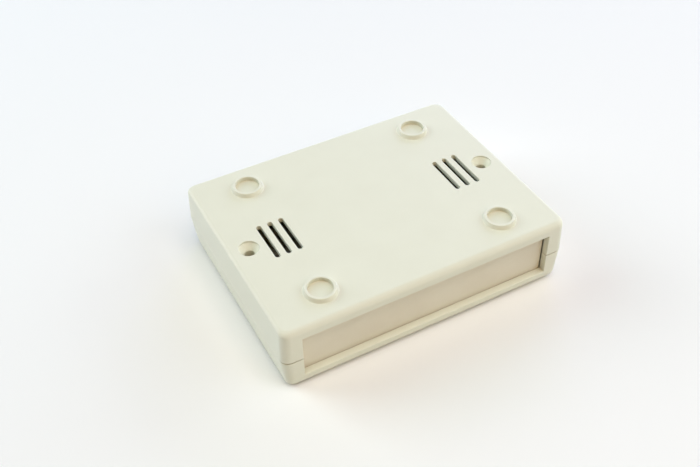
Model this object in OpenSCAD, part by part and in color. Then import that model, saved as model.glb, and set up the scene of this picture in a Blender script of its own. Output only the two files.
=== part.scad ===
// Two-part plastic instrument case with a flat panel at the front and at the rear.
// It lies on its cover with the underside up: X runs along the front, the front faces -Y,
// and Z = 0 is the cover's outer face.

/* [Case] */
// Width over the two sides, at the joint line of the shells
case_width = 142; // [110:1:200]
// Depth over the front and the rear
case_depth = 108; // [85:1:170]
// Height between the two outer faces, without the foot rings
case_height = 34.4; // [27:0.1:60]
// Height of the joint line above the cover's outer face
cover_height = 16.7; // [13:0.1:24]
// Thickness of the side walls
side_wall = 2.2; // [1.6:0.1:3]
// Thickness of the two large faces
face_wall = 2.2; // [1.8:0.1:3]

/* [Outer shape] */
// Radius of the vertical corners
corner_radius = 4.1; // [1:0.1:6]
// Radius of the vertical corners inside
inner_corner = 1; // [0.5:0.1:3]
// Radius of the long edges of the underside, at the front and the rear
base_end_edge = 2.8; // [1:0.1:4]
// Radius of the long edges of the cover's face, at the front and the rear
cover_end_edge = 4.9; // [2:0.1:6]
// Radius of the side edges of the underside
base_side_edge = 1.8; // [0.4:0.1:4]
// Radius of the side edges of the cover's face
cover_side_edge = 2.9; // [0.4:0.1:5]
// How far each side of the base leans in, from the joint line to the underside
base_lean = 0.7; // [0:0.1:2]
// How far each side of the cover leans in, from the joint line to its face
cover_lean = 1.7; // [0:0.1:4]
// How far each side of the cover stands back from the base at the joint line
cover_step = 0.1; // [0:0.1:0.8]

/* [Front and rear openings] */
// Width of the post at each side of an opening
post_width = 9.4; // [6:0.1:12]
// Height of the sill under an opening, from the cover's outer face
sill_height = 6.5; // [4:0.1:9]
// Height of the edge above an opening, from the underside
lintel_height = 5.6; // [4:0.1:9]
// Depth of the frame in front of a panel
lip_depth = 3.3; // [2:0.1:5]

/* [Panels] */
// Thickness of a panel
panel_thickness = 2; // [1:0.1:3]
// Play of a panel in its grooves, on each face
panel_play = 0.15; // [0.05:0.05:0.3]
// Gap between each end of a panel and the side of its opening
panel_end_gap = 0.4; // [0.3:0.1:2]
// Play of a panel between the two shells
panel_height_play = 0.4; // [0.2:0.1:1]
// Thickness of the ribs behind a panel
rib_thickness = 1.6; // [1:0.1:2.5]

/* [Foot rings] */
// Inside diameter of a ring
ring_bore = 11.2; // [8:0.1:12]
// Outside diameter of a ring at its rim
ring_diameter = 13.9; // [13:0.1:18]
// Height of a ring above the underside
ring_height = 2; // [0.8:0.1:2.5]
// Radius of the two edges of a ring's rim
ring_edge = 0.4; // [0.1:0.1:0.5]
// Radius of the hollow fillet round a ring
ring_fillet = 1.2; // [0.4:0.1:2]
// Depth of a ring's floor below the underside
ring_floor = 0.2; // [0:0.1:1.2]
// Distance of a ring's centre from the side
ring_inset_x = 26; // [22:0.1:35]
// Distance of a ring's centre from the front and the rear
ring_inset_y = 16; // [14:0.1:25]

/* [Vents] */
// Number of slots in each group
vent_count = 3; // [1:1:3]
// Width of a slot
vent_width = 2.4; // [1:0.1:3]
// Length of a slot over its round ends
vent_length = 22.5; // [8:0.1:36]
// Distance between the middles of two slots
vent_pitch = 5.4; // [4:0.1:8]
// Distance of the outermost slot's middle from the side
vent_inset = 19.3; // [17:0.1:24]

/* [Screws] */
// Distance of a screw's axis from the side
screw_inset = 10; // [9:0.1:11]
// Mouth diameter of a screw recess
recess_mouth = 9.5; // [7:0.1:10]
// Depth of the upright rim round the mouth of a screw recess
recess_rim = 0.9; // [0.2:0.1:1.2]
// Depth of the cone below that rim
recess_cone = 2.6; // [1:0.1:4]
// Clearance round the screw's head in its bore
head_gap = 0.15; // [0.1:0.05:0.5]
// Outside diameter of a screw tube in the base
tube_diameter = 9; // [8:0.1:10]
// Height of the seat of the screw's head above the joint line
head_seat = 3.5; // [2:0.1:5]
// Clearance round the screw's shank in the base
shank_gap = 0.2; // [0.1:0.05:0.5]
// Outside diameter of a screw boss in the cover
boss_diameter = 6.6; // [6:0.1:8]
// Gap between a screw tube and its boss
boss_gap = 0.2; // [0.1:0.1:0.5]
// Material left below the hole in a boss, above the inner face
boss_floor = 1; // [0.5:0.1:2]
// Thread diameter of a screw
screw_diameter = 2.5; // [2.2:0.1:3]
// Length of the screw's pointed tip
tip_length = 1.5; // [0.5:0.1:3]
// Diameter of the screw at its very tip
tip_diameter = 0.9; // [0.4:0.1:2]
// Diameter of a screw's head
head_diameter = 4.3; // [4:0.1:5]
// Height of a screw's head
head_height = 1.8; // [1.6:0.1:2.4]
// Length of each arm of the cross recess, from end to end
drive_span = 2.5; // [2:0.1:2.8]
// Width of the arms of the cross recess
drive_width = 0.7; // [0.5:0.1:1]
// Depth of the cross recess
drive_depth = 1; // [0.6:0.1:1.2]
// Clearance round the screw's thread in its boss
thread_fit = 0.02; // [0.02:0.01:0.05]
// Distance of the screw's tip from the end of its hole
tip_gap = 1; // [0.5:0.1:2]

/* [Inside] */
// Height of the tongue that locates the base on the cover
tongue_height = 1.5; // [1:0.1:2.5]
// Thickness of the tongue
tongue_thickness = 1; // [0.6:0.1:1.2]
// Clearance round the tongue
tongue_fit = 0.15; // [0.05:0.05:0.3]
// Distance between an end of the tongue and the rib behind a panel
tongue_end_gap = 2; // [1:0.5:20]
// Thickness of the web between a screw tube and the side
web_thickness = 1.5; // [1:0.1:2]
// Distance between the tongue's edge and the webs
web_gap = 2; // [1:0.1:4]
// Diameter of a circuit board pillar
pillar_diameter = 6; // [5:0.1:7]
// Height of a circuit board pillar
pillar_height = 5; // [2:0.1:8]
// Diameter of the screw hole in a pillar
pillar_hole = 2.4; // [2:0.1:3]
// Distance of a pillar's axis from the side
pillar_inset_x = 17; // [14:0.1:30]
// Distance of a pillar's axis from the front and the rear
pillar_inset_y = 26; // [25:0.1:32]

/* [Hidden] */
$fn = 64;
hull_facets = 32;
edge_steps = 8;
slice = 0.01;
past = 1;

base_height = case_height - cover_height;
base_width = case_width;
cover_width = case_width - 2 * cover_step;

opening_width = case_width - 2 * post_width;
groove_width = panel_thickness + 2 * panel_play;
lip_back = case_depth / 2 - lip_depth;
rib_back = lip_back - groove_width - rib_thickness;

panel_width = opening_width - 2 * panel_end_gap;
panel_height = case_height - 2 * face_wall - panel_height_play;
panel_front = lip_back - panel_play;

ring_x = case_width / 2 - ring_inset_x;
ring_y = case_depth / 2 - ring_inset_y;
vent_x = case_width / 2 - vent_inset;
screw_x = case_width / 2 - screw_inset;
pillar_x = case_width / 2 - pillar_inset_x;
pillar_y = case_depth / 2 - pillar_inset_y;

tongue_x = cover_width / 2 - side_wall;
tongue_length = 2 * (rib_back - tongue_end_gap);
web_start = tongue_height + web_gap;

head_bore = head_diameter + 2 * head_gap;
shank_hole = screw_diameter + 2 * shank_gap;
boss_hole = screw_diameter + 2 * thread_fit;
boss_hole_end = cover_height - face_wall - boss_floor;
screw_reach = boss_hole_end - tip_gap;

ivory = "#e6e7d6";
panel_tan = "#d3cbb2";
zinc = "#a9a9a4";

// How far a rounded edge stands back at a given drop below the face it runs into
function stand_back(radius, drop) =
    drop >= radius ? 0 : radius - sqrt(radius * radius - pow(radius - drop, 2));

// One level of a half: four thin corner discs, for a hull
module corner_discs(half_width, half_depth, radius, z) {
    for (side = [-1, 1], end = [-1, 1])
        translate([side * (half_width - radius), end * (half_depth - radius), z])
            cylinder(r = radius, h = slice, $fn = hull_facets);
}

// Solid outer shape of one half, from its joint plane at z = 0 to its outer face
module half_body(width, lean, side_edge, end_edge, height) {
    drops = concat([height], [for (i = [0 : edge_steps]) end_edge * (1 - sin(90 * i / edge_steps))]);
    hull()
        for (drop = drops) {
            z = max(0, height - drop - slice);
            corner_discs(width / 2 - lean * z / height - stand_back(side_edge, drop),
                case_depth / 2 - stand_back(end_edge, drop), corner_radius, z);
        }
}

// Hollow of one half, open at its joint plane
module half_cavity(width, lean, height) {
    hull()
        for (z = [-past, height - face_wall - slice])
            corner_discs(width / 2 - side_wall - lean * z / height, lip_back, inner_corner, z);
}

// Openings for the two panels in one half
module panel_openings(height, lip_height) {
    for (end = [-1, 1])
        translate([-opening_width / 2, end * case_depth / 2 - lip_depth - past, -past])
            cube([opening_width, 2 * (lip_depth + past), height - lip_height + past]);
}

// Rib behind a panel and the stops at its ends
module panel_ribs(height, lip_height) {
    rise = lip_height - face_wall / 2;
    for (end = [0, 1])
        mirror([0, end, 0])
            translate([0, -lip_back, height - lip_height]) {
                translate([-opening_width / 2, groove_width, 0])
                    cube([opening_width, rib_thickness, rise]);
                for (side = [0, 1])
                    mirror([side, 0, 0])
                        translate([opening_width / 2, -past, 0])
                            cube([rib_thickness, groove_width + rib_thickness + past, rise]);
            }
}

// Web from a screw tube to the side wall
module side_webs(height) {
    for (side = [0, 1])
        mirror([side, 0, 0])
            translate([screw_x, -web_thickness / 2, web_start])
                cube([screw_inset, web_thickness, height - web_start]);
}

// One half: the shell and, trimmed to its outer shape, what stands inside it
module half_shell(width, lean, side_edge, end_edge, height, lip_height) {
    difference() {
        half_body(width, lean, side_edge, end_edge, height);
        half_cavity(width, lean, height);
        panel_openings(height, lip_height);
    }
    intersection() {
        half_body(width, lean, side_edge, end_edge, height);
        union() {
            panel_ribs(height, lip_height);
            side_webs(height);
            children();
        }
    }
}

module at_screws() {
    for (side = [-1, 1])
        translate([side * screw_x, 0, 0])
            children();
}

module at_rings() {
    for (side = [-1, 1], end = [-1, 1])
        translate([side * ring_x, end * ring_y, base_height])
            children();
}

module at_pillars() {
    for (side = [-1, 1], end = [-1, 1])
        translate([side * pillar_x, end * pillar_y, base_height - face_wall - pillar_height])
            children();
}

// Raised ring that takes a stick-on foot, with a hollow fillet at its root
module foot_ring() {
    inner = ring_bore / 2;
    outer = ring_diameter / 2;
    rotate_extrude() {
        translate([inner, -ring_floor])
            square([outer - inner, ring_floor + ring_height - ring_edge]);
        translate([inner + ring_edge, 0])
            square([outer - inner - 2 * ring_edge, ring_height]);
        for (r = [inner + ring_edge, outer - ring_edge])
            translate([r, ring_height - ring_edge])
                circle(r = ring_edge);
        difference() {
            translate([outer - ring_edge, -ring_floor])
                square([ring_fillet + ring_edge, ring_floor + ring_height - ring_edge]);
            translate([outer + ring_fillet, ring_fillet])
                circle(r = ring_fillet);
        }
    }
}

module vent_slot() {
    run = vent_length - vent_width;
    translate([-vent_width / 2, -run / 2, -face_wall - past])
        cube([vent_width, run, face_wall + 2 * past]);
    for (end = [-1, 1])
        translate([0, end * run / 2, -face_wall - past])
            cylinder(d = vent_width, h = face_wall + 2 * past);
}

module vents() {
    for (side = [-1, 1], i = [0 : vent_count - 1])
        translate([side * (vent_x - i * vent_pitch), 0, base_height])
            vent_slot();
}

// Cone, bore for the head and clearance hole of one screw tube
module screw_recess() {
    translate([0, 0, -past])
        cylinder(d = shank_hole, h = base_height);
    translate([0, 0, head_seat])
        cylinder(d = head_bore, h = base_height);
    translate([0, 0, base_height - recess_rim - recess_cone])
        cylinder(d1 = head_bore, d2 = recess_mouth, h = recess_cone);
    translate([0, 0, base_height - recess_rim])
        cylinder(d = recess_mouth, h = recess_rim + past);
}

module base_half() {
    difference() {
        half_shell(base_width, base_lean, base_side_edge, base_end_edge, base_height, lintel_height) {
            at_screws()
                translate([0, 0, boss_gap / 2])
                    cylinder(d = tube_diameter, h = base_height - boss_gap / 2);
            at_pillars()
                cylinder(d = pillar_diameter, h = pillar_height + face_wall / 2);
        }
        at_screws()
            screw_recess();
        at_pillars()
            translate([0, 0, -past])
                cylinder(d = pillar_hole, h = pillar_height + past);
        at_rings()
            translate([0, 0, -ring_floor])
                cylinder(d = ring_bore, h = ring_floor + past);
        vents();
        for (side = [0, 1])
            mirror([side, 0, 0])
                translate([tongue_x - past, -tongue_length / 2 - tongue_fit, -past])
                    cube([tongue_thickness + past + tongue_fit, tongue_length + 2 * tongue_fit,
                        tongue_height + tongue_fit + past]);
    }
    at_rings()
        foot_ring();
}

module cover_half() {
    difference() {
        half_shell(cover_width, cover_lean, cover_side_edge, cover_end_edge, cover_height, sill_height)
            at_screws()
                translate([0, 0, boss_gap / 2])
                    cylinder(d = boss_diameter, h = cover_height - boss_gap / 2);
        at_screws()
            translate([0, 0, -past])
                cylinder(d = boss_hole, h = boss_hole_end + past);
    }
    for (side = [0, 1])
        mirror([side, 0, 0])
            translate([tongue_x, -tongue_length / 2, -tongue_height])
                cube([tongue_thickness, tongue_length, tongue_height + past]);
}

module base_shell() {
    color(ivory)
        translate([0, 0, cover_height])
            base_half();
}

module cover_shell() {
    color(ivory)
        translate([0, 0, cover_height])
            mirror([0, 0, 1])
                cover_half();
}

module panel() {
    translate([-panel_width / 2, -panel_front, face_wall])
        cube([panel_width, panel_thickness, panel_height]);
}

module front_panel() {
    color(panel_tan)
        panel();
}

module rear_panel() {
    color(panel_tan)
        mirror([0, 1, 0])
            panel();
}

// Pan-head self-tapping screw with a cross recess, its head's seat at z = 0
module screw() {
    length = head_seat + screw_reach;
    difference() {
        cylinder(d = head_diameter, h = head_height);
        for (turn = [0, 90])
            rotate([0, 0, turn])
                translate([-drive_span / 2, -drive_width / 2, head_height - drive_depth])
                    cube([drive_span, drive_width, drive_depth + past]);
    }
    translate([0, 0, tip_length - length])
        cylinder(d = screw_diameter, h = length - tip_length);
    translate([0, 0, -length])
        cylinder(d1 = tip_diameter, d2 = screw_diameter, h = tip_length);
}

module placed_screw(side) {
    color(zinc)
        translate([side * screw_x, 0, cover_height + head_seat])
            screw();
}

module left_screw() {
    placed_screw(-1);
}

module right_screw() {
    placed_screw(1);
}

base_shell();
cover_shell();
front_panel();
rear_panel();
left_screw();
right_screw();
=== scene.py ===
import math

import bmesh
import bpy
from mathutils import Matrix, Vector


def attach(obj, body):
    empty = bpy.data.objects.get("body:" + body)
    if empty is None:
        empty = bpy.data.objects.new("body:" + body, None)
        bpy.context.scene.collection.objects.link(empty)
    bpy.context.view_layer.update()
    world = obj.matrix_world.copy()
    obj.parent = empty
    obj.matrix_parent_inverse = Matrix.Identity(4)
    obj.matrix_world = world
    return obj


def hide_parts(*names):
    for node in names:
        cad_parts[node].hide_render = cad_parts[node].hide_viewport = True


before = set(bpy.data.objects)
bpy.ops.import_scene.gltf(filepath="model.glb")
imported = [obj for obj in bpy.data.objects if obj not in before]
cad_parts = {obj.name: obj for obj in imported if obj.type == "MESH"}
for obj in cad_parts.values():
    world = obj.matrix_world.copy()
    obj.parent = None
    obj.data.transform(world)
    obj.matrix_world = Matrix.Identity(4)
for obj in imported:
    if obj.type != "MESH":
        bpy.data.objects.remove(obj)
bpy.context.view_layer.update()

# Meshes are worked in millimetres and brought to metres when they become pieces.
# The case lies on its cover: +Z up, the photographed front faces -Y.
millimetre = 0.001
print("frame loaded:", sorted(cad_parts))


def everything(bm):
    return bm.verts[:] + bm.edges[:] + bm.faces[:]


def standBack(radius, drop):
    # how far a rounded edge stands back, at a drop below the face that it runs into
    if drop >= radius:
        return 0.0
    return radius - math.sqrt(radius ** 2 - (radius - drop) ** 2)


def arcDrops(radius, steps):
    # drops below a face at which a rounded edge gets a row of points
    return [radius * (1 - math.sin(math.pi / 2 * k / steps)) for k in range(steps + 1)]


def loft(halfX, halfY, radius, levels, steps=8):
    # a rounded rectangle drawn up through levels of (z, growth); a slot or a hole is a case of it
    bm = bmesh.new()
    halfStep = math.pi / (4 * steps)
    bmesh.ops.create_circle(bm, segments=4 * steps, radius=1 / math.cos(halfStep),
                            matrix=Matrix.Rotation(halfStep, 4, "Z"))
    ring = {v: v.co.copy() for v in bm.verts}
    edges = bm.edges[:]

    def place(ring, z, growth):
        for v, way in ring.items():
            v.co.x = math.copysign(halfX - radius, way.x) + way.x * (radius + growth)
            v.co.y = math.copysign(halfY - radius, way.y) + way.y * (radius + growth)
            v.co.z = z

    place(ring, *levels[0])
    bmesh.ops.contextual_create(bm, geom=edges)
    for z, growth in levels[1:]:
        made = bmesh.ops.extrude_edge_only(bm, edges=edges)["geom"]
        verts = [g for g in made if isinstance(g, bmesh.types.BMVert)]
        edges = [g for g in made if isinstance(g, bmesh.types.BMEdge)]
        ways = list(ring.items())
        ring = {v: min(ways, key=lambda pair: (pair[0].co - v.co).length_squared)[1] for v in verts}
        place(ring, z, growth)
    bmesh.ops.contextual_create(bm, geom=edges)
    bmesh.ops.recalc_face_normals(bm, faces=bm.faces)
    return bm


def lathe(profile, steps=96, closed=True):
    # spins a profile of (radius, z) round Z: closed for a ring, or open from the axis to the axis
    bm = bmesh.new()
    verts = [bm.verts.new((r, 0, z)) for r, z in profile]
    edges = [bm.edges.new(pair) for pair in zip(verts, verts[1:])]
    if closed:
        edges.append(bm.edges.new((verts[-1], verts[0])))
    bmesh.ops.spin(bm, geom=verts + edges, axis=(0, 0, 1), cent=(0, 0, 0), dvec=(0, 0, 0),
                   angle=2 * math.pi, steps=steps, use_merge=True, use_duplicate=False)
    bmesh.ops.remove_doubles(bm, verts=bm.verts, dist=1e-4)
    bmesh.ops.recalc_face_normals(bm, faces=bm.faces)
    return bm


def arc(centreR, centreZ, radius, start, end, steps):
    # points of (radius, z) along an arc, with angles in degrees
    turns = [math.radians(start + (end - start) * k / steps) for k in range(steps + 1)]
    return [(centreR + radius * math.cos(t), centreZ + radius * math.sin(t)) for t in turns]


def block(low, high):
    bm = bmesh.new()
    size = Vector(high) - Vector(low)
    middle = (Vector(high) + Vector(low)) / 2
    bmesh.ops.create_cube(bm, size=1, matrix=Matrix.LocRotScale(middle, None, size))
    return bm


def moved(bm, x=0, y=0, z=0):
    bmesh.ops.translate(bm, vec=(x, y, z), verts=bm.verts)
    return bm


def rough(bm, name):
    # a working object, in millimetres
    mesh = bpy.data.meshes.new(name)
    bm.to_mesh(mesh)
    bm.free()
    obj = bpy.data.objects.new(name, mesh)
    bpy.context.scene.collection.objects.link(obj)
    return obj


def bakeModifiers(obj):
    graph = bpy.context.evaluated_depsgraph_get()
    fresh = bpy.data.meshes.new_from_object(obj.evaluated_get(graph))
    old = obj.data
    obj.modifiers.clear()
    obj.data = fresh
    bpy.data.meshes.remove(old)


def combine(target, meshes, operation):
    # adds or cuts several solids at once
    group = bpy.data.collections.new("tools")
    tools = []
    for k, bm in enumerate(meshes):
        tool = rough(bm, "tool%d" % k)
        group.objects.link(tool)
        tools.append(tool)
    boolean = target.modifiers.new("combine", "BOOLEAN")
    boolean.operation = operation
    boolean.solver = "EXACT"
    boolean.operand_type = "COLLECTION"
    boolean.collection = group
    bakeModifiers(target)
    for tool in tools:
        mesh = tool.data
        bpy.data.objects.remove(tool)
        bpy.data.meshes.remove(mesh)
    bpy.data.collections.remove(group)


def finishPiece(obj, material, smoothAngle=32, replaced=()):
    # merges, brings to metres, shades and hangs the piece on the frame
    bm = bmesh.new()
    bm.from_mesh(obj.data)
    bmesh.ops.remove_doubles(bm, verts=bm.verts, dist=2e-3)
    bmesh.ops.dissolve_degenerate(bm, dist=1e-4, edges=bm.edges)
    bmesh.ops.scale(bm, vec=(millimetre,) * 3, verts=bm.verts)
    for face in bm.faces:
        face.smooth = True
    openEdges = sum(1 for e in bm.edges if not e.is_manifold)
    bm.to_mesh(obj.data)
    bm.free()
    obj.data.set_sharp_from_angle(angle=math.radians(smoothAngle))
    weighted = obj.modifiers.new("even shading", "WEIGHTED_NORMAL")
    weighted.keep_sharp = True
    weighted.weight = 80
    obj.data.materials.clear()
    obj.data.materials.append(material)
    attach(obj, "root")
    if replaced:
        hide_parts(*replaced)
    print("%s: %d faces, %d edges not closed" % (obj.name, len(obj.data.polygons), openEdges))
    return obj


def node(tree, kind, **settings):
    made = tree.nodes.new(kind)
    for key, value in settings.items():
        if key in made.inputs:
            made.inputs[key].default_value = value
        else:
            setattr(made, key, value)
    return made


def newMaterial(name):
    material = bpy.data.materials.new(name)
    material.use_nodes = True
    material.node_tree.nodes.clear()
    return material, material.node_tree


def noise(tree, place, size, detail, roughness=0.5):
    made = node(tree, "ShaderNodeTexNoise", Scale=1 / size, Detail=detail, Roughness=roughness)
    tree.links.new(place.outputs["Object"], made.inputs["Vector"])
    return made.outputs["Fac"]


def ramp(tree, source, stops):
    made = node(tree, "ShaderNodeValToRGB")
    for element, (position, colour) in zip(made.color_ramp.elements, stops):
        element.position = position
        element.color = (*colour, 1)
    tree.links.new(source, made.inputs["Fac"])
    return made.outputs["Color"]


def mapRange(tree, source, start, full, low=0.0, high=1.0):
    # low at start, high at full, and steady past both
    made = node(tree, "ShaderNodeMapRange")
    for name, value in (("From Min", start), ("From Max", full), ("To Min", low), ("To Max", high)):
        made.inputs[name].default_value = value
    tree.links.new(source, made.inputs["Value"])
    return made.outputs["Result"]


def mixColours(tree, blend, factor, first, second):
    # second is a plain colour
    made = node(tree, "ShaderNodeMix", data_type="RGBA", blend_type=blend)
    made.inputs[7].default_value = (*second, 1)
    tree.links.new(factor, made.inputs[0])
    tree.links.new(first, made.inputs[6])
    return made.outputs[2]


def bump(tree, height, distance, strength=1.0, under=None):
    made = node(tree, "ShaderNodeBump", Strength=strength, Distance=distance)
    tree.links.new(height, made.inputs["Height"])
    if under:
        tree.links.new(under, made.inputs["Normal"])
    return made.outputs["Normal"]


plasticSettings = {
    "specular": 0.35,
    "cloudSize": 0.018,        # faint clouds in the colour, metres
    "fleckSize": 0.0006,
    "fleckShare": 0.3,
    "darkerAt": 0.45,          # clouds and flecks below this show the darker colour
    "lighterAt": 0.82,
    "grainSize": 0.00022,      # spark-eroded grain of the mould
    "grainHeight": 0.000012,
    "waveSize": 0.028,         # slow unevenness of a large moulded face
    "waveHeight": 0.00004,
    "glossSpread": (-0.05, 0.06),
    # painted shade: the colour is darkened and browned in hollows, seams and recesses
    "paintedShadeReach": 0.005,      # how far a wall reaches with the painted shade in the hollow beside it
    "paintedShadeFrom": (0.75, 0.1),
    "paintedShadeTint": (0.74, 0.65, 0.57),
    # painted highlight: sharp convex edges get a lighter colour in patches, together with a lower roughness
    "edgeReach": 0.0007,       # how wide the band of painted highlight and polish along a sharp edge is
    "edgeFrom": (0.9, 0.5),
    "paintedEdgeHighlight": (0.80, 0.80, 0.68),
    "edgePolish": -0.12,
}


def plastic(name, colour, darker, roughness, settings=plasticSettings):
    # fine matt moulded plastic: faint clouds and flecks, moulded grain, slow waves, painted shade in hollows
    # and a painted highlight along sharp edges
    material, tree = newMaterial(name)
    link = tree.links.new
    out = node(tree, "ShaderNodeOutputMaterial")
    shader = node(tree, "ShaderNodeBsdfPrincipled")
    shader.inputs["Specular IOR Level"].default_value = settings["specular"]
    place = node(tree, "ShaderNodeTexCoord")

    clouds = noise(tree, place, settings["cloudSize"], 4.0, 0.55)
    flecks = noise(tree, place, settings["fleckSize"], 2.0, 0.6)
    both = node(tree, "ShaderNodeMath", operation="MULTIPLY_ADD")
    both.inputs[1].default_value = settings["fleckShare"]
    link(flecks, both.inputs[0])
    link(clouds, both.inputs[2])
    clouded = ramp(tree, both.outputs[0], [(settings["darkerAt"], darker), (settings["lighterAt"], colour)])

    # painted shade: ambient occlusion multiplies the colour darker and browner in hollows, seams and recesses
    openness = node(tree, "ShaderNodeAmbientOcclusion", samples=8, Distance=settings["paintedShadeReach"])
    paintedShadeAmount = mapRange(tree, openness.outputs["AO"], *settings["paintedShadeFrom"])
    shaded = mixColours(tree, "MULTIPLY", paintedShadeAmount, clouded, settings["paintedShadeTint"])

    # painted highlight: convex edges found by inside occlusion get a lighter colour in cloud-shaped patches;
    # the same mask lowers the roughness there
    corners = node(tree, "ShaderNodeAmbientOcclusion", samples=4, inside=True, only_local=True,
                   Distance=settings["edgeReach"])
    edgeHighlightAndPolish = node(tree, "ShaderNodeMath", operation="MULTIPLY", use_clamp=True)
    link(mapRange(tree, corners.outputs["AO"], *settings["edgeFrom"]), edgeHighlightAndPolish.inputs[0])
    link(clouds, edgeHighlightAndPolish.inputs[1])
    shadedAndHighlit = mixColours(tree, "MIX", edgeHighlightAndPolish.outputs[0], shaded, settings["paintedEdgeHighlight"])
    link(shadedAndHighlit, shader.inputs["Base Color"])

    smoother, rougher = (roughness + change for change in settings["glossSpread"])
    polish = node(tree, "ShaderNodeMath", operation="MULTIPLY_ADD")
    polish.inputs[1].default_value = settings["edgePolish"]
    link(edgeHighlightAndPolish.outputs[0], polish.inputs[0])
    link(mapRange(tree, clouds, 0.3, 0.8, smoother, rougher), polish.inputs[2])
    link(polish.outputs[0], shader.inputs["Roughness"])

    waves = noise(tree, place, settings["waveSize"], 1.0)
    grain = noise(tree, place, settings["grainSize"], 3.0, 0.65)
    waveBump = bump(tree, waves, settings["waveHeight"])
    link(bump(tree, grain, settings["grainHeight"], under=waveBump), shader.inputs["Normal"])
    link(shader.outputs["BSDF"], out.inputs["Surface"])
    return material


zincSettings = {
    "darker": (0.40, 0.39, 0.37),
    "lighter": (0.62, 0.62, 0.60),
    "stainSize": 1 / 900,      # metres
    "roughness": (0.28, 0.5),
    "markSize": 1 / 6000,      # fine turning marks
    "markHeight": 0.000006,
    "markStrength": 0.6,
}


def zincPlate(name, settings=zincSettings):
    # dull zinc plating: fine turning marks and faint stains
    material, tree = newMaterial(name)
    link = tree.links.new
    out = node(tree, "ShaderNodeOutputMaterial")
    shader = node(tree, "ShaderNodeBsdfPrincipled", Metallic=1.0)
    place = node(tree, "ShaderNodeTexCoord")
    stains = noise(tree, place, settings["stainSize"], 4.0, 0.6)
    marks = noise(tree, place, settings["markSize"], 2.0)
    stained = ramp(tree, stains, [(0.35, settings["darker"]), (0.7, settings["lighter"])])
    link(stained, shader.inputs["Base Color"])
    link(mapRange(tree, stains, 0.0, 1.0, *settings["roughness"]), shader.inputs["Roughness"])
    link(bump(tree, marks, settings["markHeight"], settings["markStrength"]), shader.inputs["Normal"])
    link(shader.outputs["BSDF"], out.inputs["Surface"])
    return material


ivoryPlastic = plastic("ivoryPlastic", (0.766, 0.770, 0.635), (0.750, 0.752, 0.617), 0.46)
beigePlastic = plastic("beigePlastic", (0.760, 0.714, 0.577), (0.728, 0.676, 0.538), 0.50)
zincSteel = zincPlate("zincSteel")
print("materials made")


shell = {
    "width": 142.0,            # over the sides, at the joint line
    "depth": 108.0,
    "top": 34.4,               # the underside, uppermost here
    "joint": 16.7,
    "wall": 2.2,
    "cornerRadius": 4.1,
    "baseEndEdge": 2.8,        # long edges at the front and the rear
    "coverEndEdge": 4.9,
    "baseSideEdge": 1.8,
    "coverSideEdge": 2.9,
    "baseLean": 0.7,
    "coverLean": 1.7,
    "coverStep": 0.1,
    "lipRadius": 0.3,          # rounding of both shells at the joint line
    "lipGap": 0.24,            # half of the shadow gap at the joint line
    "endLipDepth": 1.6,        # how deep that gap runs in at the front and the rear
    "sideLipDepth": 0.3,
    "notchRadius": 0.26,       # that gap, where it runs back along the sides of the openings
    "notchLength": 6.0,
    "notchY": 53.0,
    "innerCorner": 1.0,
    "buried": 1.0,             # how deep ribs and tubes stand in a wall
}

opening = {"halfWidth": 61.6, "sill": 6.5, "lintel": 28.8, "lipDepth": 3.3, "edge": 0.35, "corner": 0.3}
rings = {
    "x": 45.0,
    "y": 38.0,
    "bore": 5.6,
    "outer": 6.95,             # at the rim
    "height": 2.0,
    "floor": 0.2,              # depth of the floor below the underside
    "rim": 0.35,
    "slope": 20,               # lean of the outer wall, degrees
    "spread": 0.55,            # what that lean adds to the radius
    "fillet": 0.5,
    "skirt": [(0.03, 0.02), (0.0, 0.3), (-0.6, 1.4)],   # outwards and down from the root, buried in the wall
}
vents = {"x": [51.7, 46.3, 40.9], "width": 2.4, "length": 22.5, "edge": 0.3}
recess = {
    "x": 61.0,
    "mouth": 4.75,
    "lip": [(0.0, 0.15), (0.0625, 0.04), (0.175, -0.02), (0.25, -1.0)],   # outwards and down from the mouth
    "rim": 0.9,                # straight depth under the mouth
    "cone": 2.6,
    "bore": 2.3,
    "seat": 20.2,              # the screw head's seat
    "shank": 1.45,
    "tube": 4.5,
    "boss": 3.3,
    "bossHole": 1.27,
    "bossEnd": 3.2,
}
inside = {
    "ribY": 46.8,
    "ribThick": 1.6,
    "web": 1.5,
    "webInset": 3.5,           # from the joint line
    "baseWebReach": 69.0,
    "coverWebReach": 68.0,
    "pillarX": 54.0,
    "pillarY": 28.0,
    "pillarRadius": 3.0,
    "pillarHeight": 5.0,
    "pillarHole": 1.2,
    "tongueX": 68.7,
    "tongueThick": 1.0,
    "tongueHeight": 1.5,
    "tongueHalf": 44.8,
    "tongueFit": 0.15,
}
past = 1.0                     # how far a cutter runs past what it cuts
sameRow = 5e-4                 # rows nearer than this are one


def between(side, a, b):
    return sorted((side * a, side * b))


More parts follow.
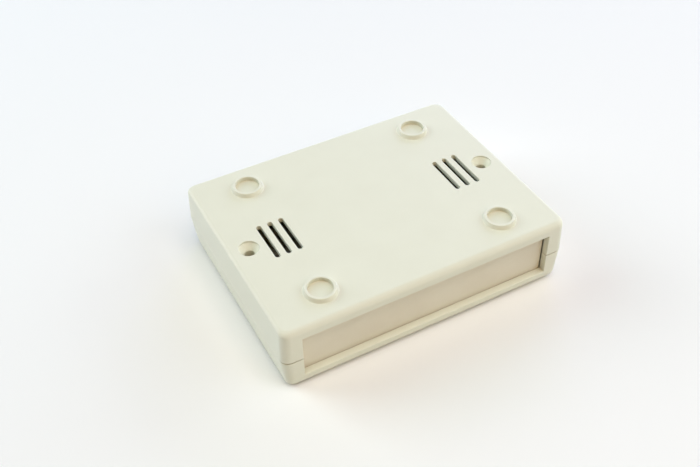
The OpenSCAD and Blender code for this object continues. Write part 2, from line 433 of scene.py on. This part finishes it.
def halfBody(low, high, halfX, lean, sideEdge, endEdge, faceAt):
    # outer shape of one half: a block with round upright corners, cut into levels that are then drawn in
    height = high - low
    bm = block((-halfX, -shell["depth"] / 2, low), (halfX, shell["depth"] / 2, high))
    upright = [e for e in bm.edges if abs(e.verts[0].co.z - e.verts[1].co.z) > height / 2]
    bmesh.ops.bevel(bm, geom=upright, offset=shell["cornerRadius"], offset_type="OFFSET", segments=12,
                    profile=0.5, affect="EDGES", material=-1)
    jointAt = low if faceAt == high else high
    drops = arcDrops(endEdge, 12) + arcDrops(sideEdge, 8)
    lipRows = [shell["lipGap"], shell["lipGap"] + 0.001] + [
        shell["lipGap"] + d for d in arcDrops(shell["lipRadius"], 4)]

    def rowZ(fromFace, drop):
        base = faceAt if fromFace else jointAt
        return base - math.copysign(drop, base - (low + high) / 2)

    rows = sorted({round(rowZ(True, d), 4) for d in drops} | {round(rowZ(False, d), 4) for d in lipRows})
    for z in rows:
        if low + sameRow < z < high - sameRow:
            bmesh.ops.bisect_plane(bm, geom=everything(bm), dist=1e-5, plane_co=(0, 0, z), plane_no=(0, 0, 1))
    for v in bm.verts:
        drop = abs(faceAt - v.co.z)
        rise = abs(v.co.z - jointAt)
        if rise < shell["lipGap"] + sameRow:
            lipX, lipY = shell["sideLipDepth"], shell["endLipDepth"]
        else:
            lipX = lipY = standBack(shell["lipRadius"], rise - shell["lipGap"])
        inX = lean * rise / height + standBack(sideEdge, drop) + lipX
        inY = standBack(endEdge, drop) + lipY
        v.co.x -= math.copysign(inX, v.co.x)
        v.co.y -= math.copysign(inY, v.co.y)
    bmesh.ops.recalc_face_normals(bm, faces=bm.faces)
    return bm


def halfCavity(jointAt, floorAt, halfX, lean, height):
    # hollow of one half, a little past the joint line
    rows = [(jointAt + math.copysign(past, jointAt - floorAt), -lean * past / height),
            (floorAt, lean * abs(jointAt - floorAt) / height)]
    bm = loft(halfX - shell["wall"], shell["depth"] / 2 - opening["lipDepth"], shell["innerCorner"],
              [(z, 0) for z, _ in sorted(rows)], steps=6)
    for v in bm.verts:
        inX = rows[0][1] if abs(v.co.z - rows[0][0]) < 0.01 else rows[1][1]
        v.co.x -= math.copysign(inX, v.co.x)
    return bm


def openingCutter(side):
    # the window of the front (-1) or the rear (1), flared at its mouth
    mouth = shell["depth"] / 2
    edge = opening["edge"]
    levels = [(mouth - opening["lipDepth"] - 0.5, 0)]
    levels += [(mouth - d, standBack(edge, d)) for d in sorted(arcDrops(edge, 5), reverse=True)]
    levels += [(mouth + 2 * past, edge)]
    halfHeight = (opening["lintel"] - opening["sill"]) / 2
    bm = loft(opening["halfWidth"], halfHeight, opening["corner"], levels, steps=4)
    turn = Matrix.Rotation(math.radians(-90 * side), 4, "X")
    bmesh.ops.transform(bm, matrix=turn, verts=bm.verts)
    return moved(bm, z=(opening["lintel"] + opening["sill"]) / 2)


def seamNotches():
    # the rounding of the joint line where it runs back along the sides of both openings
    made = []
    radius = shell["notchRadius"]
    alongY = Matrix.Rotation(math.pi / 2, 4, "X")
    for x in (-opening["halfWidth"], opening["halfWidth"]):
        for y in (-shell["notchY"], shell["notchY"]):
            place = Matrix.Translation((x, y, shell["joint"])) @ alongY
            bm = bmesh.new()
            bmesh.ops.create_cone(bm, cap_ends=True, segments=16, radius1=radius, radius2=radius,
                                  depth=shell["notchLength"], matrix=place)
            made.append(bm)
    return made


def cylinder(radius, low, high, segments=48):
    bm = bmesh.new()
    bmesh.ops.create_cone(bm, cap_ends=True, segments=segments, radius1=radius, radius2=radius,
                          depth=high - low, matrix=Matrix.Translation((0, 0, (high + low) / 2)))
    return bm


def atScrews(makeMesh):
    return [moved(makeMesh(), side * recess["x"]) for side in (-1, 1)]


def atFour(makeMesh, x, y):
    return [moved(makeMesh(), side * x, end * y) for side in (-1, 1) for end in (-1, 1)]


def atRings(makeMesh):
    return atFour(makeMesh, rings["x"], rings["y"])


def atPillars(makeMesh):
    return atFour(makeMesh, inside["pillarX"], inside["pillarY"])


def panelRibs(low, high):
    # ribs behind both panels and the stops at the panels' ends
    made = []
    half = opening["halfWidth"]
    back = inside["ribY"] + inside["ribThick"]
    lip = shell["depth"] / 2 - opening["lipDepth"]
    for end in (-1, 1):
        near, far = between(end, inside["ribY"], back)
        made.append(block((-half, near, low), (half, far, high)))
        near, far = between(end, inside["ribY"] + 0.001, lip + past)
        for side in (-1, 1):
            first, last = between(side, half - 0.001, half + inside["ribThick"])
            made.append(block((first, near, low), (last, far, high)))
    return made


def sideWebs(low, high, reach):
    # flat webs that tie the screw tubes to the side walls
    made = []
    for side in (-1, 1):
        first, last = between(side, recess["x"], reach)
        made.append(block((first, -inside["web"] / 2, low), (last, inside["web"] / 2, high)))
    return made


def footRing():
    # raised ring with a rounded rim, a sloped outer wall and a hollow fillet at its root
    top = shell["top"]
    bore, outer, rim, fillet, slope = (rings[key] for key in ("bore", "outer", "rim", "fillet", "slope"))
    rise = top + rings["height"]
    root = outer + fillet + rings["spread"]
    profile = [(bore, top - rings["skirt"][-1][1])]
    profile += arc(bore + rim, rise - rim, rim, 180, 90, 6)
    profile += arc(outer - rim, rise - rim, rim, 90, slope, 6)
    profile += arc(root, top + fillet, fillet, 180 + slope, 268, 8)
    profile += [(root + out, top - drop) for out, drop in rings["skirt"]]
    return lathe(profile)


def ventCutter(x):
    edge = vents["edge"]
    top = shell["top"]
    levels = [(top - shell["wall"] - past, 0)]
    levels += [(top - d, standBack(edge, d)) for d in sorted(arcDrops(edge, 4), reverse=True)]
    levels += [(top + past, edge)]
    return moved(loft(vents["width"] / 2, vents["length"] / 2, vents["width"] / 2, levels, steps=6), x=x)


def recessCutter():
    # from the hole for the shank up to the rounded mouth
    top = shell["top"]
    foot = shell["joint"] - past
    shank, bore, mouth, seat = (recess[key] for key in ("shank", "bore", "mouth", "seat"))
    coneTop = top - recess["rim"]
    profile = [(0, foot), (shank, foot), (shank, seat), (bore, seat), (bore, coneTop - recess["cone"]),
               (mouth, coneTop)]
    profile += [(mouth + out, top - drop) for out, drop in recess["lip"]]
    return lathe(profile + [(0, top + past)], steps=64, closed=False)


def buildBase():
    top, joint = shell["top"], shell["joint"]
    halfX = shell["width"] / 2
    body = halfBody(joint, top, halfX, shell["baseLean"], shell["baseSideEdge"], shell["baseEndEdge"], top)
    base = rough(body, "base_shell_moulding")
    ceiling = top - shell["wall"]
    combine(base, [halfCavity(joint, ceiling, halfX, shell["baseLean"], top - joint)], "DIFFERENCE")

    buried = top - shell["buried"]
    pillarEnd = ceiling - inside["pillarHeight"]
    additions = atScrews(lambda: cylinder(recess["tube"], joint + 0.1, buried))
    additions += atPillars(lambda: cylinder(inside["pillarRadius"], pillarEnd, buried))
    additions += panelRibs(opening["lintel"], buried)
    additions += sideWebs(joint + inside["webInset"], buried, inside["baseWebReach"])
    combine(base, additions, "UNION")

    cuts = [openingCutter(-1), openingCutter(1)] + seamNotches()
    cuts += atScrews(recessCutter)
    cuts += atPillars(lambda: cylinder(inside["pillarHole"], pillarEnd - past, ceiling, 24))
    cuts += atRings(lambda: cylinder(rings["bore"] + 0.7, top - rings["floor"], top + past, 96))
    cuts += [ventCutter(side * x) for side in (-1, 1) for x in vents["x"]]
    fit = inside["tongueFit"]
    reach = inside["tongueX"] + inside["tongueThick"] + fit
    run = inside["tongueHalf"] + fit
    for side in (-1, 1):
        first, last = between(side, inside["tongueX"] - past, reach)
        cuts.append(block((first, -run, joint - past), (last, run, joint + inside["tongueHeight"] + fit)))
    combine(base, cuts, "DIFFERENCE")
    combine(base, atRings(footRing), "UNION")
    return finishPiece(base, ivoryPlastic, replaced=["base_shell"])


def buildCover():
    joint, floor = shell["joint"], shell["wall"]
    halfX = shell["width"] / 2 - shell["coverStep"]
    body = halfBody(0, joint, halfX, shell["coverLean"], shell["coverSideEdge"], shell["coverEndEdge"], 0)
    cover = rough(body, "cover_shell_moulding")
    combine(cover, [halfCavity(joint, floor, halfX, shell["coverLean"], joint)], "DIFFERENCE")

    buried = shell["buried"]
    run = inside["tongueHalf"]
    additions = atScrews(lambda: cylinder(recess["boss"], buried, joint - 0.1))
    additions += panelRibs(buried, opening["sill"])
    additions += sideWebs(buried + 0.1, joint - inside["webInset"], inside["coverWebReach"])
    for side in (-1, 1):
        first, last = between(side, inside["tongueX"], inside["tongueX"] + inside["tongueThick"])
        additions.append(block((first, -run, joint - past), (last, run, joint + inside["tongueHeight"])))
    combine(cover, additions, "UNION")

    cuts = [openingCutter(-1), openingCutter(1)] + seamNotches()
    cuts += atScrews(lambda: cylinder(recess["bossHole"], recess["bossEnd"], joint + past, 32))
    combine(cover, cuts, "DIFFERENCE")
    return finishPiece(cover, ivoryPlastic, replaced=["cover_shell"])


buildBase()
buildCover()
print("shells made")


panel = {"halfWidth": 61.2, "front": 50.55, "thick": 2.0, "low": 2.2, "high": 31.8, "edge": 0.2}


def buildPanel(end, name, replaced):
    near, far = between(end, panel["front"], panel["front"] - panel["thick"])
    bm = block((-panel["halfWidth"], near, panel["low"]), (panel["halfWidth"], far, panel["high"]))
    bmesh.ops.bevel(bm, geom=bm.edges[:], offset=panel["edge"], offset_type="OFFSET", segments=3, profile=0.5,
                    affect="EDGES", material=-1)
    return finishPiece(rough(bm, name), beigePlastic, replaced=[replaced])


buildPanel(-1, "front_plate", "front_panel")
buildPanel(1, "rear_plate", "rear_panel")
print("panels made")


screw = {
    "x": 61.0,
    "seat": 20.2,              # underside of the head
    "headRadius": 2.15,
    "headHeight": 1.8,
    "headSide": 0.8,           # where the dome starts, above the seat
    "headEdge": 0.15,
    "domeStart": 12,           # degrees
    "shankRadius": 0.95,
    "neck": 0.3,
    "threadRadius": 1.25,
    "threadBase": 0.5,
    "threadStart": 1.2,        # above the tip
    "threadStop": 1.5,         # below the head
    "pitch": 1.1,
    "tipEnd": 4.2,
    "tipLength": 1.5,
    "tipRadius": 0.5,
    "crossSpan": 2.5,
    "crossWidth": 0.7,
    "crossDepth": 1.0,
    "crossTurn": 22,           # degrees
    "crossTaper": (0.45, 0.6),
}


def screwThread(low, high):
    # one ridge wound round the shank
    turns = (high - low) / screw["pitch"]
    steps = int(turns * 20)
    bm = bmesh.new()
    inner, outer, base = screw["shankRadius"] - 0.1, screw["threadRadius"], screw["threadBase"]
    corners = [bm.verts.new(p) for p in ((inner, 0, low), (outer, 0, low + base / 2), (inner, 0, low + base))]
    start = bm.faces.new(corners)
    bmesh.ops.spin(bm, geom=[start] + list(start.edges) + corners, axis=(0, 0, 1), cent=(0, 0, 0),
                   dvec=(0, 0, (high - low) / steps), angle=2 * math.pi * turns, steps=steps, use_merge=False,
                   use_duplicate=False)
    bmesh.ops.recalc_face_normals(bm, faces=bm.faces)
    return bm


def crossArm(turn, top):
    # one arm of the cross recess, narrower at its bottom
    span, width = screw["crossSpan"] / 2, screw["crossWidth"] / 2
    arm = block((-span, -width, top - screw["crossDepth"]), (span, width, top + 0.5))
    for v in arm.verts:
        if v.co.z < top:
            v.co.x *= screw["crossTaper"][0]
            v.co.y *= screw["crossTaper"][1]
    turn = math.radians(turn + screw["crossTurn"])
    bmesh.ops.rotate(arm, matrix=Matrix.Rotation(turn, 3, "Z"), verts=arm.verts)
    return arm


def buildScrew(side, name, replaced):
    seat, tip = screw["seat"], screw["tipEnd"]
    radius, shank, edge = screw["headRadius"], screw["shankRadius"], screw["headEdge"]
    top = seat + screw["headHeight"]
    domeAt = seat + screw["headSide"]
    dome = screw["headHeight"] - screw["headSide"]
    profile = [(0, tip), (screw["tipRadius"], tip + 0.1), (shank, tip + screw["tipLength"]),
               (shank, seat - screw["neck"]), (shank + screw["neck"], seat), (radius - edge, seat),
               (radius, seat + edge), (radius, domeAt)]
    profile += arc(radius - dome, domeAt, dome, screw["domeStart"], 90, 7) + [(0, top)]
    body = rough(lathe(profile, steps=48, closed=False), name)
    combine(body, [crossArm(0, top), crossArm(90, top)], "DIFFERENCE")
    combine(body, [screwThread(tip + screw["threadStart"], seat - screw["threadStop"])], "UNION")
    for v in body.data.vertices:
        v.co.x += side * screw["x"]
    return finishPiece(body, zincSteel, replaced=[replaced])


buildScrew(-1, "screw_left", "left_screw")
buildScrew(1, "screw_right", "right_screw")
print("screws made")


stageSettings = {
    "floorRadius": 1.35,       # metres
    "floorColour": (0.91, 0.915, 0.90),
    "backgroundShown": (0.93, 0.93, 0.925),    # seen and mirrored, but lights nothing
    "worldColour": (1.0, 1.0, 1.0),
    "worldStrength": 0.01,
}


def buildFloor():
    bm = bmesh.new()
    bmesh.ops.create_circle(bm, cap_ends=True, segments=128, radius=stageSettings["floorRadius"])
    mesh = bpy.data.meshes.new("floor")
    bm.to_mesh(mesh)
    bm.free()
    floor = bpy.data.objects.new("floor", mesh)
    bpy.context.scene.collection.objects.link(floor)
    material, tree = newMaterial("paleFloor")
    out = node(tree, "ShaderNodeOutputMaterial")
    matt = node(tree, "ShaderNodeBsdfDiffuse", Color=(*stageSettings["floorColour"], 1))
    tree.links.new(matt.outputs["BSDF"], out.inputs["Surface"])
    mesh.materials.append(material)


def buildWorld():
    world = bpy.data.worlds.new("softRoom")
    bpy.context.scene.world = world
    world.use_nodes = True
    tree = world.node_tree
    tree.nodes.clear()
    out = node(tree, "ShaderNodeOutputWorld")
    seen = node(tree, "ShaderNodeBackground", Color=(*stageSettings["backgroundShown"], 1), Strength=1.0)
    light = node(tree, "ShaderNodeBackground", Color=(*stageSettings["worldColour"], 1),
                 Strength=stageSettings["worldStrength"])
    path = node(tree, "ShaderNodeLightPath")
    mix = node(tree, "ShaderNodeMixShader")
    shownTo = path.outputs["Is Camera Ray"]
    for kind in ("Is Glossy Ray", "Is Transmission Ray"):      # metal and glass show the backdrop too
        either = node(tree, "ShaderNodeMath", operation="MAXIMUM")
        tree.links.new(shownTo, either.inputs[0])
        tree.links.new(path.outputs[kind], either.inputs[1])
        shownTo = either.outputs[0]
    tree.links.new(shownTo, mix.inputs["Fac"])
    tree.links.new(light.outputs[0], mix.inputs[1])
    tree.links.new(seen.outputs[0], mix.inputs[2])
    tree.links.new(mix.outputs[0], out.inputs["Surface"])


lampSettings = [
    # name, where it stands seen from above (0 = in front, 90 = right), height angle, watts, colour
    ("backLeft", 225, 35, 12.3, (0.68, 0.97, 0.99)),
    ("backLeftLow", 225, 15, 10.9, (1.0, 0.82, 0.97)),
    ("backRight", 135, 15, 12.7, (0.54, 0.59, 1.0)),
    ("right", 90, 15, 11.6, (0.85, 0.95, 1.0)),
    ("frontRight", 45, 35, 9.0, (0.77, 0.87, 0.99)),
    ("overhead", 0, 75, 15.2, (1.0, 0.91, 0.84)),
    ("front", 0, 35, 4.0, (1.0, 0.58, 0.10)),
]
lampDistance = 1.7
lampSize = 1.1


def buildLamps():
    for name, around, up, power, colour in lampSettings:
        data = bpy.data.lights.new(name, "AREA")
        data.shape = "SQUARE"
        data.size = lampSize
        data.energy = power
        data.color = colour
        lamp = bpy.data.objects.new(name, data)
        a, e = math.radians(around), math.radians(up)
        way = Vector((math.sin(a) * math.cos(e), -math.cos(a) * math.cos(e), math.sin(e)))
        lamp.location = way * lampDistance
        lamp.rotation_mode = "QUATERNION"
        lamp.rotation_quaternion = (-way).to_track_quat("-Z", "Y")
        bpy.context.scene.collection.objects.link(lamp)


cameraSettings = {
    "place": (-0.15376, -0.27949, 0.31319),
    "forward": (0.33243, 0.65113, -0.68229),
    "right": (0.88117, -0.47232, -0.02142),
    "focalPixels": 921.19,     # for an image 700 pixels wide
    "imageWidth": 700,
    "sensor": 36.0,
}


def buildCamera():
    data = bpy.data.cameras.new("camera")
    data.sensor_width = cameraSettings["sensor"]
    data.lens = cameraSettings["focalPixels"] * cameraSettings["sensor"] / cameraSettings["imageWidth"]
    data.clip_start = 0.01
    data.clip_end = 20
    camera = bpy.data.objects.new("camera", data)
    back = -Vector(cameraSettings["forward"]).normalized()
    right = Vector(cameraSettings["right"]).normalized()
    up = back.cross(right).normalized()
    turn = Matrix((right, up, back)).transposed().to_4x4()
    camera.matrix_world = Matrix.Translation(cameraSettings["place"]) @ turn
    bpy.context.scene.collection.objects.link(camera)
    bpy.context.scene.camera = camera


buildFloor()
buildWorld()
buildLamps()
buildCamera()
bpy.context.scene.view_settings.view_transform = "Standard"
print("stage made")
